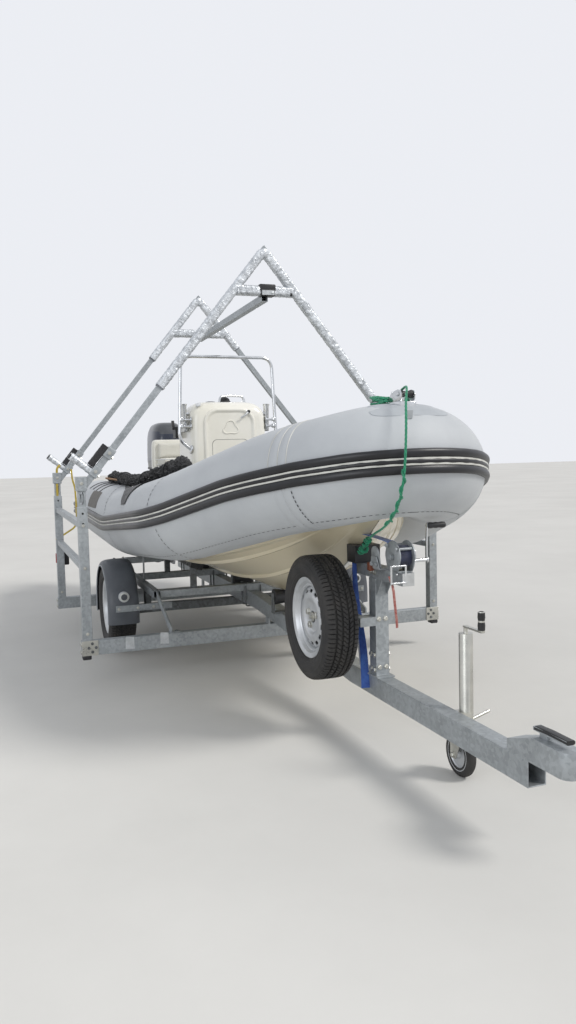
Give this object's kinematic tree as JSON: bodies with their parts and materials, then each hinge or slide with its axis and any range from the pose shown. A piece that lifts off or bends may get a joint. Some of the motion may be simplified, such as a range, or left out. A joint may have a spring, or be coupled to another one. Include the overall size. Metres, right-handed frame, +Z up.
{
  "type": "rigid inflatable boat on a road trailer with a dinghy rack",
  "caption": "Rigid inflatable boat with console, seat and outboard, on a galvanised single-axle trailer that carries a padded dinghy rack over it.",
  "frame": {"origin": "on the ground under the middle of the whole length and width", "axes": "+X forward to the bow and coupling, +Y to port, +Z up"},
  "size_m": [6.65, 2.6272, 2.7879],
  "materials": {
    "galvanised": "hot-dip galvanised, dull spangle",
    "zinc": "bright zinc plate",
    "tyre": "worn black rubber",
    "rim": "silver paint, satin",
    "dark_plastic": "moulded, fine grain",
    "white_plastic": "clear reflector lens over white",
    "black_rubber": "satin",
    "carpet": "short pile",
    "foam": "closed-cell foam",
    "foil": "crinkled silver wrap over foam",
    "red_lens": "red lens",
    "hull_gelcoat": "cream gelcoat",
    "deck_grey": "moulded non-slip",
    "tube_fabric": "light grey coated fabric",
    "console_white": "white gelcoat",
    "stainless": "polished stainless steel",
    "black_plastic": "satin",
    "seat_vinyl": "off-white vinyl",
    "engine_grey": "dark grey satin paint",
    "cowl_grey": "dark grey moulded cowl",
    "alloy": "painted alloy",
    "rope_green": "laid rope",
    "cover_black": "woven cover"
  },
  "bodies": {
    "boat_and_trailer": {"spine": "galvanised", "coupling": "galvanised", "cross_members": "galvanised", "side_rails": "galvanised", "axle": "galvanised", "mudguards": "dark_plastic", "guard_brackets": "galvanised", "guard_reflectors": "white_plastic", "keel_rollers": "black_rubber", "roller_brackets": "galvanised", "bunks": "carpet", "bunk_posts": "galvanised", "rack_beams": "galvanised", "rack_posts": "galvanised", "post_sleeves": "galvanised", "rack_legs": "galvanised", "ridge_bar": "galvanised", "side_bars": "galvanised", "leg_collars": "galvanised", "leg_pads": "foam", "leg_arms": "foil", "tail_lamps": "red_lens", "winch_post": "galvanised", "winch": "zinc", "snubber": "black_rubber", "spare_tyre": "tyre", "spare_rim": "rim", "spare_bracket": "galvanised", "jockey_tube": "zinc", "hull": "hull_gelcoat", "deck": "deck_grey", "transom": "hull_gelcoat", "collar": "tube_fabric", "rubbing_strake": "black_rubber", "console": "console_white", "console_rail": "stainless", "helm_boss": "black_plastic", "throttle": "black_plastic", "seat_pod": "console_white", "seat_cushion": "seat_vinyl", "engine_clamp": "engine_grey", "bow_fairlead": "stainless", "bow_rope": "rope_green", "rope_hank": "rope_green", "rolled_cover": "cover_black"},
    "wheel_left": {"tyre_left": "tyre", "rim_left": "rim"},
    "wheel_right": {"tyre_right": "tyre", "rim_right": "rim"},
    "jockey_inner": {"jockey_stem": "zinc"},
    "jockey_caster": {"jockey_fork": "zinc"},
    "jockey_roller": {"jockey_wheel": "tyre"},
    "helm": {"steering_wheel": "black_plastic"},
    "engine_bracket": {"engine_swivel": "engine_grey"},
    "engine": {"engine_leg": "engine_grey", "engine_cowl": "cowl_grey"},
    "prop": {"propeller": "alloy"}
  },
  "joints": [
    {"name": "wheel_left_spin", "type": "hinge", "parent": "boat_and_trailer", "child": "wheel_left", "pos_m": [-0.665, 0.906, 0.315], "axis": [0, 1, 0], "continuous": true},
    {"name": "wheel_right_spin", "type": "hinge", "parent": "boat_and_trailer", "child": "wheel_right", "pos_m": [-0.665, -0.906, 0.315], "axis": [0, 1, 0], "continuous": true},
    {"name": "jockey_lift", "type": "slide", "parent": "boat_and_trailer", "child": "jockey_inner", "axis": [0, 0, 1], "range_m": [-0.15, 0]},
    {"name": "jockey_swivel", "type": "hinge", "parent": "jockey_inner", "child": "jockey_caster", "pos_m": [2.515, 0.092, 0.2], "axis": [0, 0, 1], "continuous": true},
    {"name": "jockey_spin", "type": "hinge", "parent": "jockey_caster", "child": "jockey_roller", "pos_m": [2.469, 0.092, 0.1], "axis": [0, 1, 0], "continuous": true},
    {"name": "helm_turn", "type": "hinge", "parent": "boat_and_trailer", "child": "helm", "pos_m": [-1.25, 0, 1.715], "axis": [0.866, 0, -0.5], "range_deg": [-600, 600]},
    {"name": "engine_tilt", "type": "hinge", "parent": "boat_and_trailer", "child": "engine_bracket", "pos_m": [-2.9, 0, 1.085], "axis": [0, 1, 0], "range_deg": [0, 60]},
    {"name": "engine_steer", "type": "hinge", "parent": "engine_bracket", "child": "engine", "pos_m": [-2.965, 0, 1], "axis": [0, 0, 1], "range_deg": [-30, 30]},
    {"name": "prop_spin", "type": "hinge", "parent": "engine", "child": "prop", "pos_m": [-3.225, 0, 0.352], "axis": [1, 0, 0], "continuous": true}
  ],
  "couplings": [
    {"joint": "helm_turn", "follows": "engine_steer", "ratio": 20}
  ]
}
